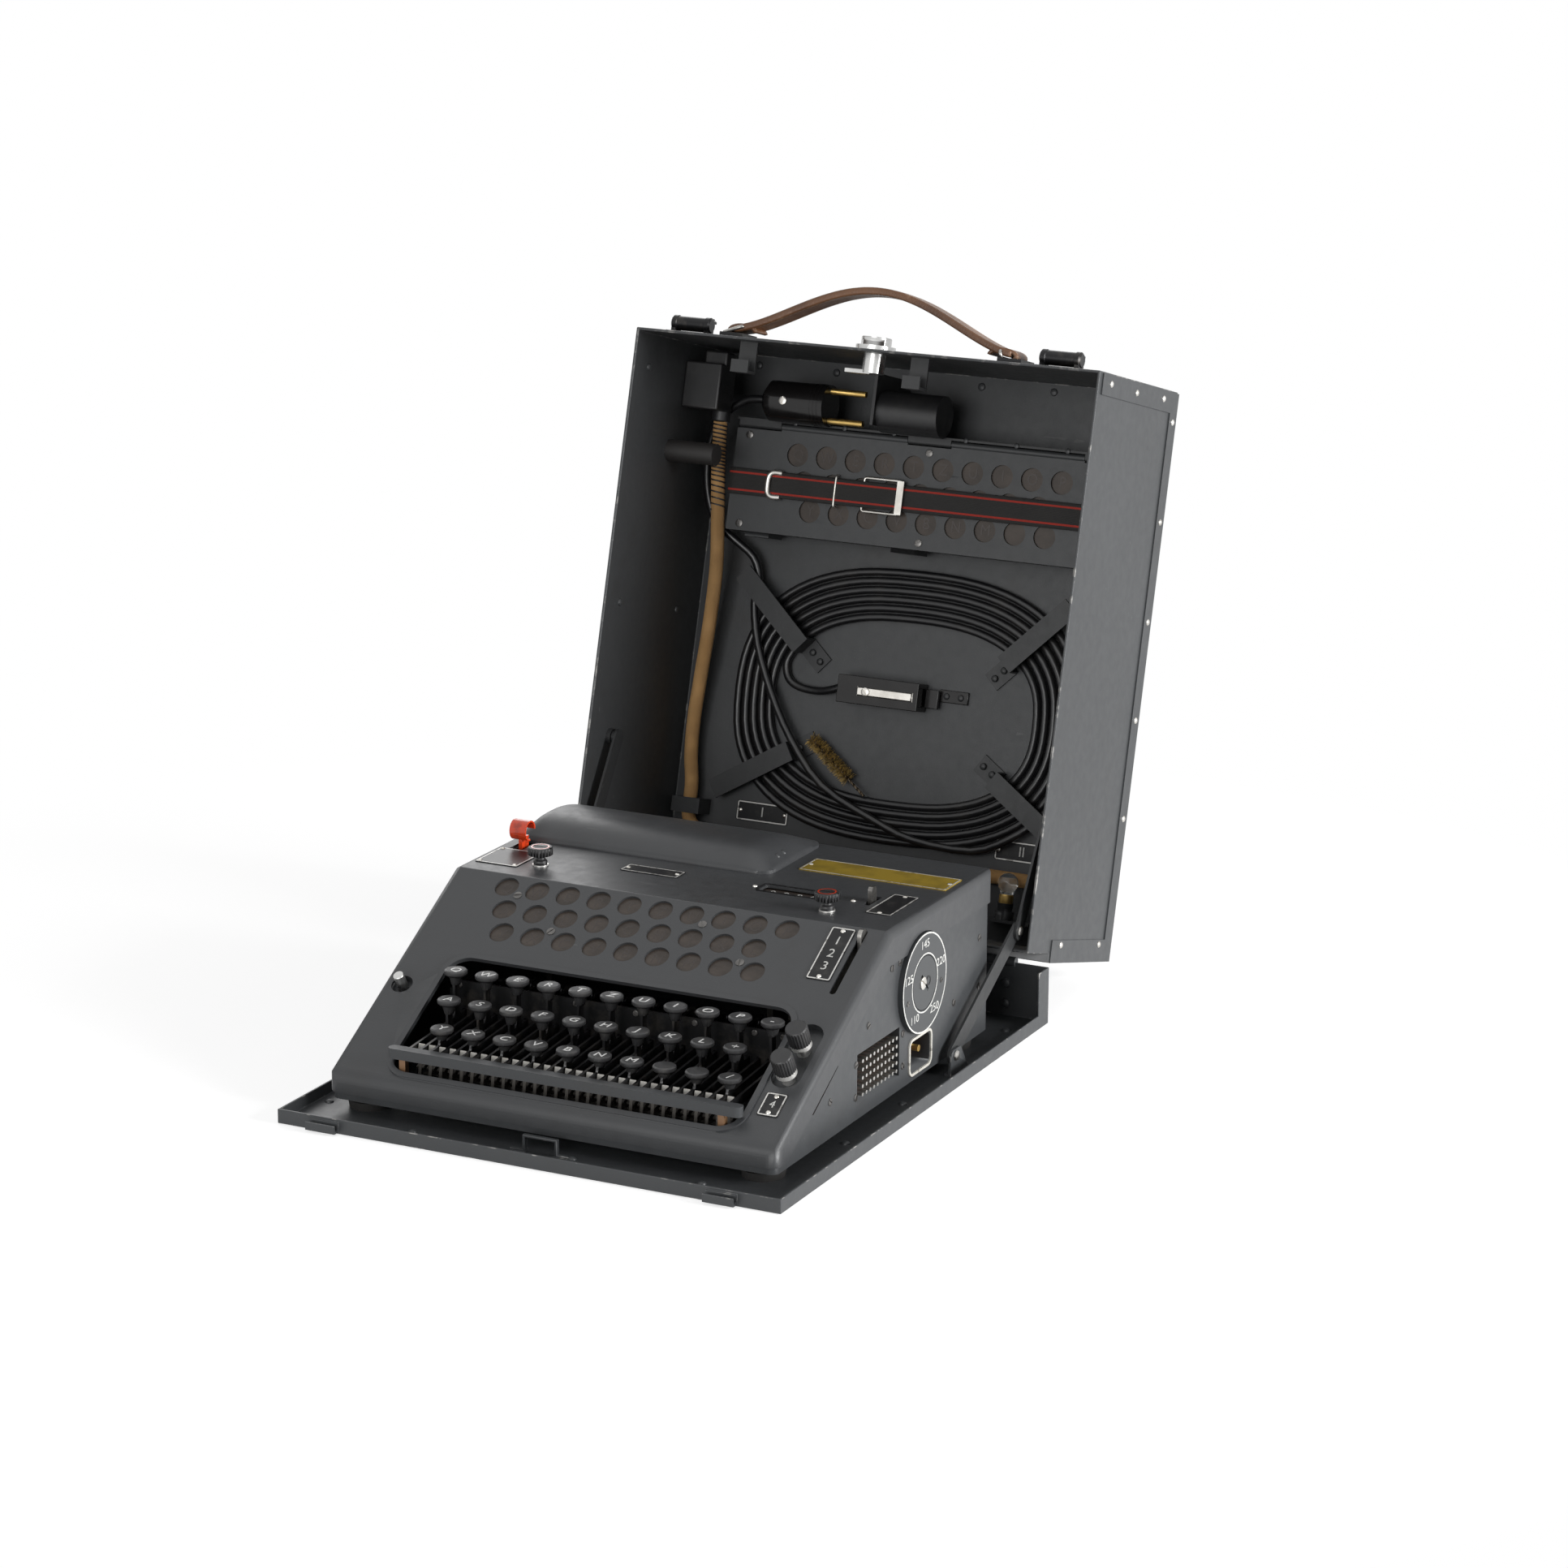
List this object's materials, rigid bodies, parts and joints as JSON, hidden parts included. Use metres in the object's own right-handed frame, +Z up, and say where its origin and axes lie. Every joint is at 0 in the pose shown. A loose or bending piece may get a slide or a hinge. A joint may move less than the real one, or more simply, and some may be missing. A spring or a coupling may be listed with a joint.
{
  "type": "cipher machine",
  "caption": "Portable lamp-panel cipher machine with a sloping keyboard, fixed in a sheet-steel carrying case whose deep lid leans back on folding stays",
  "frame": {"origin": "middle of the tray's underside, where the case stands on a table", "axes": "+X to the user's right, +Y from the keyboard to the lid, +Z up"},
  "size_m": [0.32, 0.5636, 0.4276],
  "materials": {
    "slate_paint": "satin slate grey enamel",
    "hinge_steel": "satin dark grey enamel",
    "key_black": "satin black moulding",
    "black_rubber": "smooth black sheath",
    "bakelite": "polished black phenolic",
    "nickel": "worn nickel plate",
    "red_paint": "gloss red enamel",
    "tan_cloth": "woven cotton sleeve",
    "brown_leather": "waxed saddle leather",
    "brass_wire": "brown bristle and brass wire",
    "dark_glass": "smoked glass"
  },
  "bodies": {
    "case": {"base_tray": "slate_paint", "machine_chassis": "slate_paint", "top_cover": "slate_paint", "rotor_hood": "slate_paint", "key_frame": "hinge_steel", "lamp_screen": "dark_glass"},
    "lid": {"lid_shell": "slate_paint", "edge_rivets": "slate_paint", "lid_fittings": "hinge_steel", "mains_cable": "black_rubber", "cable_ends": "bakelite", "lamp_cable": "tan_cloth", "carry_handle": "brown_leather", "cleaning_brush": "brass_wire"},
    "lamp_panel": {"spare_lamp_panel": "slate_paint"},
    "lower_stay": {"lower_stays": "hinge_steel"},
    "upper_stay": {"upper_stays": "hinge_steel"},
    "latch_left": {"left_latch": "hinge_steel"},
    "latch_right": {"right_latch": "hinge_steel"},
    "lock": {"lid_lock": "nickel"},
    "dial": {"voltage_dial": "key_black"},
    "terminal_up": {"upper_terminal": "key_black"},
    "terminal_low": {"lower_terminal": "key_black"},
    "button": {"push_button": "nickel"},
    "release": {"release_lever": "red_paint"},
    "knob_left": {"left_knob": "key_black"},
    "knob_right": {"right_knob": "key_black"},
    "supply": {"supply_lever": "hinge_steel"},
    "counter": {"counter_lever": "hinge_steel"},
    "key_01": {"key_01": "key_black"},
    "key_02": {"key_02": "key_black"},
    "key_03": {"key_03": "key_black"},
    "key_04": {"key_04": "key_black"},
    "key_05": {"key_05": "key_black"},
    "key_06": {"key_06": "key_black"},
    "key_07": {"key_07": "key_black"},
    "key_08": {"key_08": "key_black"},
    "key_09": {"key_09": "key_black"},
    "key_10": {"key_10": "key_black"},
    "key_11": {"key_11": "key_black"},
    "key_12": {"key_12": "key_black"},
    "key_13": {"key_13": "key_black"},
    "key_14": {"key_14": "key_black"},
    "key_15": {"key_15": "key_black"},
    "key_16": {"key_16": "key_black"},
    "key_17": {"key_17": "key_black"},
    "key_18": {"key_18": "key_black"},
    "key_19": {"key_19": "key_black"},
    "key_20": {"key_20": "key_black"},
    "key_21": {"key_21": "key_black"},
    "key_22": {"key_22": "key_black"},
    "key_23": {"key_23": "key_black"},
    "key_24": {"key_24": "key_black"},
    "key_25": {"key_25": "key_black"},
    "key_26": {"key_26": "key_black"},
    "key_27": {"key_27": "key_black"},
    "key_28": {"key_28": "key_black"},
    "key_29": {"key_29": "key_black"},
    "key_30": {"key_30": "key_black"},
    "key_31": {"key_31": "key_black"}
  },
  "joints": [
    {"name": "lid_hinge", "type": "hinge", "parent": "case", "child": "lid", "pos_m": [0, 0.1825, 0.0356], "axis": [1, 0, 0], "range_deg": [0, 105.33]},
    {"name": "lower_stay_hinge", "type": "hinge", "parent": "case", "child": "lower_stay", "pos_m": [0, 0.0675, 0.013], "axis": [1, 0, 0], "range_deg": [-5.61, 0.3]},
    {"name": "upper_stay_hinge", "type": "hinge", "parent": "lower_stay", "child": "upper_stay", "pos_m": [0, 0.1585, 0.0638], "axis": [1, 0, 0], "range_deg": [-0.5, 144.79]},
    {"name": "lamp_panel_hinge", "type": "hinge", "parent": "lid", "child": "lamp_panel", "pos_m": [0.00695, 0.3343, 0.31853], "axis": [1, 0, 0], "range_deg": [-45, 0]},
    {"name": "left_latch_hinge", "type": "hinge", "parent": "lid", "child": "latch_left", "pos_m": [-0.12895, 0.26855, 0.39338], "axis": [1, 0, 0], "range_deg": [0, 160]},
    {"name": "right_latch_hinge", "type": "hinge", "parent": "lid", "child": "latch_right", "pos_m": [0.12405, 0.26855, 0.39338], "axis": [1, 0, 0], "range_deg": [0, 160]},
    {"name": "lock_turn", "type": "hinge", "parent": "lid", "child": "lock", "pos_m": [-0.00005, 0.26547, 0.3878], "axis": [0, 0.2644, 0.9644], "range_deg": [0, 90]},
    {"name": "dial_turn", "type": "hinge", "parent": "case", "child": "dial", "pos_m": [0.1433, 0.0334, 0.0667], "axis": [1, 0, 0], "range_deg": [-162, 54]},
    {"name": "terminal_up_turn", "type": "hinge", "parent": "case", "child": "terminal_up", "pos_m": [0.1268, -0.09246, 0.06643], "axis": [0, -0.5012, 0.8653], "continuous": true},
    {"name": "terminal_low_turn", "type": "hinge", "parent": "case", "child": "terminal_low", "pos_m": [0.1268, -0.11106, 0.05566], "axis": [0, -0.5012, 0.8653], "continuous": true},
    {"name": "button_press", "type": "slide", "parent": "case", "child": "button", "axis": [0, 0.5012, -0.8653], "range_m": [0, 0.003], "stiffness_N_per_m": 400, "springref_m": -0.003},
    {"name": "release_swing", "type": "hinge", "parent": "case", "child": "release", "pos_m": [-0.129, 0.0475, 0.1], "axis": [1, 0, 0], "range_deg": [0, 22]},
    {"name": "left_knob_turn", "type": "hinge", "parent": "case", "child": "knob_left", "pos_m": [-0.0991, 0.0154, 0.109], "axis": [0, 0, 1], "continuous": true},
    {"name": "right_knob_turn", "type": "hinge", "parent": "case", "child": "knob_right", "pos_m": [0.0926, 0.0113, 0.109], "axis": [0, 0, 1], "continuous": true},
    {"name": "supply_swing", "type": "hinge", "parent": "case", "child": "supply", "pos_m": [0.1275, -0.01127, 0.05914], "axis": [1, 0, 0], "range_deg": [0, 52.03]},
    {"name": "counter_swing", "type": "hinge", "parent": "case", "child": "counter", "pos_m": [0.1077, 0.0405, 0.099], "axis": [1, 0, 0], "range_deg": [0, 14], "stiffness_Nm_per_rad": 0.05, "springref_deg": -5.73},
    {"name": "key_01_press", "type": "hinge", "parent": "case", "child": "key_01", "pos_m": [-0.099, -0.0225, 0.047], "axis": [1, 0, 0], "range_deg": [0, 2.3], "stiffness_Nm_per_rad": 0.5, "springref_deg": -8.59},
    {"name": "key_02_press", "type": "hinge", "parent": "case", "child": "key_02", "pos_m": [-0.09217, -0.0225, 0.047], "axis": [1, 0, 0], "range_deg": [0, 2.3], "stiffness_Nm_per_rad": 0.5, "springref_deg": -8.59},
    {"name": "key_03_press", "type": "hinge", "parent": "case", "child": "key_03", "pos_m": [-0.08533, -0.0225, 0.047], "axis": [1, 0, 0], "range_deg": [0, 2.3], "stiffness_Nm_per_rad": 0.5, "springref_deg": -8.59},
    {"name": "key_04_press", "type": "hinge", "parent": "case", "child": "key_04", "pos_m": [-0.0785, -0.0225, 0.047], "axis": [1, 0, 0], "range_deg": [0, 2.3], "stiffness_Nm_per_rad": 0.5, "springref_deg": -8.59},
    {"name": "key_05_press", "type": "hinge", "parent": "case", "child": "key_05", "pos_m": [-0.07167, -0.0225, 0.047], "axis": [1, 0, 0], "range_deg": [0, 2.3], "stiffness_Nm_per_rad": 0.5, "springref_deg": -8.59},
    {"name": "key_06_press", "type": "hinge", "parent": "case", "child": "key_06", "pos_m": [-0.06483, -0.0225, 0.047], "axis": [1, 0, 0], "range_deg": [0, 2.3], "stiffness_Nm_per_rad": 0.5, "springref_deg": -8.59},
    {"name": "key_07_press", "type": "hinge", "parent": "case", "child": "key_07", "pos_m": [-0.058, -0.0225, 0.047], "axis": [1, 0, 0], "range_deg": [0, 2.3], "stiffness_Nm_per_rad": 0.5, "springref_deg": -8.59},
    {"name": "key_08_press", "type": "hinge", "parent": "case", "child": "key_08", "pos_m": [-0.05117, -0.0225, 0.047], "axis": [1, 0, 0], "range_deg": [0, 2.3], "stiffness_Nm_per_rad": 0.5, "springref_deg": -8.59},
    {"name": "key_09_press", "type": "hinge", "parent": "case", "child": "key_09", "pos_m": [-0.04433, -0.0225, 0.047], "axis": [1, 0, 0], "range_deg": [0, 2.3], "stiffness_Nm_per_rad": 0.5, "springref_deg": -8.59},
    {"name": "key_10_press", "type": "hinge", "parent": "case", "child": "key_10", "pos_m": [-0.0375, -0.0225, 0.047], "axis": [1, 0, 0], "range_deg": [0, 2.3], "stiffness_Nm_per_rad": 0.5, "springref_deg": -8.59},
    {"name": "key_11_press", "type": "hinge", "parent": "case", "child": "key_11", "pos_m": [-0.03067, -0.0225, 0.047], "axis": [1, 0, 0], "range_deg": [0, 2.3], "stiffness_Nm_per_rad": 0.5, "springref_deg": -8.59},
    {"name": "key_12_press", "type": "hinge", "parent": "case", "child": "key_12", "pos_m": [-0.02383, -0.0225, 0.047], "axis": [1, 0, 0], "range_deg": [0, 2.3], "stiffness_Nm_per_rad": 0.5, "springref_deg": -8.59},
    {"name": "key_13_press", "type": "hinge", "parent": "case", "child": "key_13", "pos_m": [-0.017, -0.0225, 0.047], "axis": [1, 0, 0], "range_deg": [0, 2.3], "stiffness_Nm_per_rad": 0.5, "springref_deg": -8.59},
    {"name": "key_14_press", "type": "hinge", "parent": "case", "child": "key_14", "pos_m": [-0.01017, -0.0225, 0.047], "axis": [1, 0, 0], "range_deg": [0, 2.3], "stiffness_Nm_per_rad": 0.5, "springref_deg": -8.59},
    {"name": "key_15_press", "type": "hinge", "parent": "case", "child": "key_15", "pos_m": [-0.00333, -0.0225, 0.047], "axis": [1, 0, 0], "range_deg": [0, 2.3], "stiffness_Nm_per_rad": 0.5, "springref_deg": -8.59},
    {"name": "key_16_press", "type": "hinge", "parent": "case", "child": "key_16", "pos_m": [0.0035, -0.0225, 0.047], "axis": [1, 0, 0], "range_deg": [0, 2.3], "stiffness_Nm_per_rad": 0.5, "springref_deg": -8.59},
    {"name": "key_17_press", "type": "hinge", "parent": "case", "child": "key_17", "pos_m": [0.01033, -0.0225, 0.047], "axis": [1, 0, 0], "range_deg": [0, 2.3], "stiffness_Nm_per_rad": 0.5, "springref_deg": -8.59},
    {"name": "key_18_press", "type": "hinge", "parent": "case", "child": "key_18", "pos_m": [0.01717, -0.0225, 0.047], "axis": [1, 0, 0], "range_deg": [0, 2.3], "stiffness_Nm_per_rad": 0.5, "springref_deg": -8.59},
    {"name": "key_19_press", "type": "hinge", "parent": "case", "child": "key_19", "pos_m": [0.024, -0.0225, 0.047], "axis": [1, 0, 0], "range_deg": [0, 2.3], "stiffness_Nm_per_rad": 0.5, "springref_deg": -8.59},
    {"name": "key_20_press", "type": "hinge", "parent": "case", "child": "key_20", "pos_m": [0.03083, -0.0225, 0.047], "axis": [1, 0, 0], "range_deg": [0, 2.3], "stiffness_Nm_per_rad": 0.5, "springref_deg": -8.59},
    {"name": "key_21_press", "type": "hinge", "parent": "case", "child": "key_21", "pos_m": [0.03767, -0.0225, 0.047], "axis": [1, 0, 0], "range_deg": [0, 2.3], "stiffness_Nm_per_rad": 0.5, "springref_deg": -8.59},
    {"name": "key_22_press", "type": "hinge", "parent": "case", "child": "key_22", "pos_m": [0.0445, -0.0225, 0.047], "axis": [1, 0, 0], "range_deg": [0, 2.3], "stiffness_Nm_per_rad": 0.5, "springref_deg": -8.59},
    {"name": "key_23_press", "type": "hinge", "parent": "case", "child": "key_23", "pos_m": [0.05133, -0.0225, 0.047], "axis": [1, 0, 0], "range_deg": [0, 2.3], "stiffness_Nm_per_rad": 0.5, "springref_deg": -8.59},
    {"name": "key_24_press", "type": "hinge", "parent": "case", "child": "key_24", "pos_m": [0.05817, -0.0225, 0.047], "axis": [1, 0, 0], "range_deg": [0, 2.3], "stiffness_Nm_per_rad": 0.5, "springref_deg": -8.59},
    {"name": "key_25_press", "type": "hinge", "parent": "case", "child": "key_25", "pos_m": [0.065, -0.0225, 0.047], "axis": [1, 0, 0], "range_deg": [0, 2.3], "stiffness_Nm_per_rad": 0.5, "springref_deg": -8.59},
    {"name": "key_26_press", "type": "hinge", "parent": "case", "child": "key_26", "pos_m": [0.07183, -0.0225, 0.047], "axis": [1, 0, 0], "range_deg": [0, 2.3], "stiffness_Nm_per_rad": 0.5, "springref_deg": -8.59},
    {"name": "key_27_press", "type": "hinge", "parent": "case", "child": "key_27", "pos_m": [0.07867, -0.0225, 0.047], "axis": [1, 0, 0], "range_deg": [0, 2.3], "stiffness_Nm_per_rad": 0.5, "springref_deg": -8.59},
    {"name": "key_28_press", "type": "hinge", "parent": "case", "child": "key_28", "pos_m": [0.0855, -0.0225, 0.047], "axis": [1, 0, 0], "range_deg": [0, 2.3], "stiffness_Nm_per_rad": 0.5, "springref_deg": -8.59},
    {"name": "key_29_press", "type": "hinge", "parent": "case", "child": "key_29", "pos_m": [0.09233, -0.0225, 0.047], "axis": [1, 0, 0], "range_deg": [0, 2.3], "stiffness_Nm_per_rad": 0.5, "springref_deg": -8.59},
    {"name": "key_30_press", "type": "hinge", "parent": "case", "child": "key_30", "pos_m": [0.09917, -0.0225, 0.047], "axis": [1, 0, 0], "range_deg": [0, 2.3], "stiffness_Nm_per_rad": 0.5, "springref_deg": -8.59},
    {"name": "key_31_press", "type": "hinge", "parent": "case", "child": "key_31", "pos_m": [0.106, -0.0225, 0.047], "axis": [1, 0, 0], "range_deg": [0, 2.3], "stiffness_Nm_per_rad": 0.5, "springref_deg": -8.59}
  ],
  "couplings": [
    {"joint": "lower_stay_hinge", "follows": "lid_hinge", "ratio": -0.05039},
    {"joint": "upper_stay_hinge", "follows": "lid_hinge", "ratio": 1.3699}
  ]
}
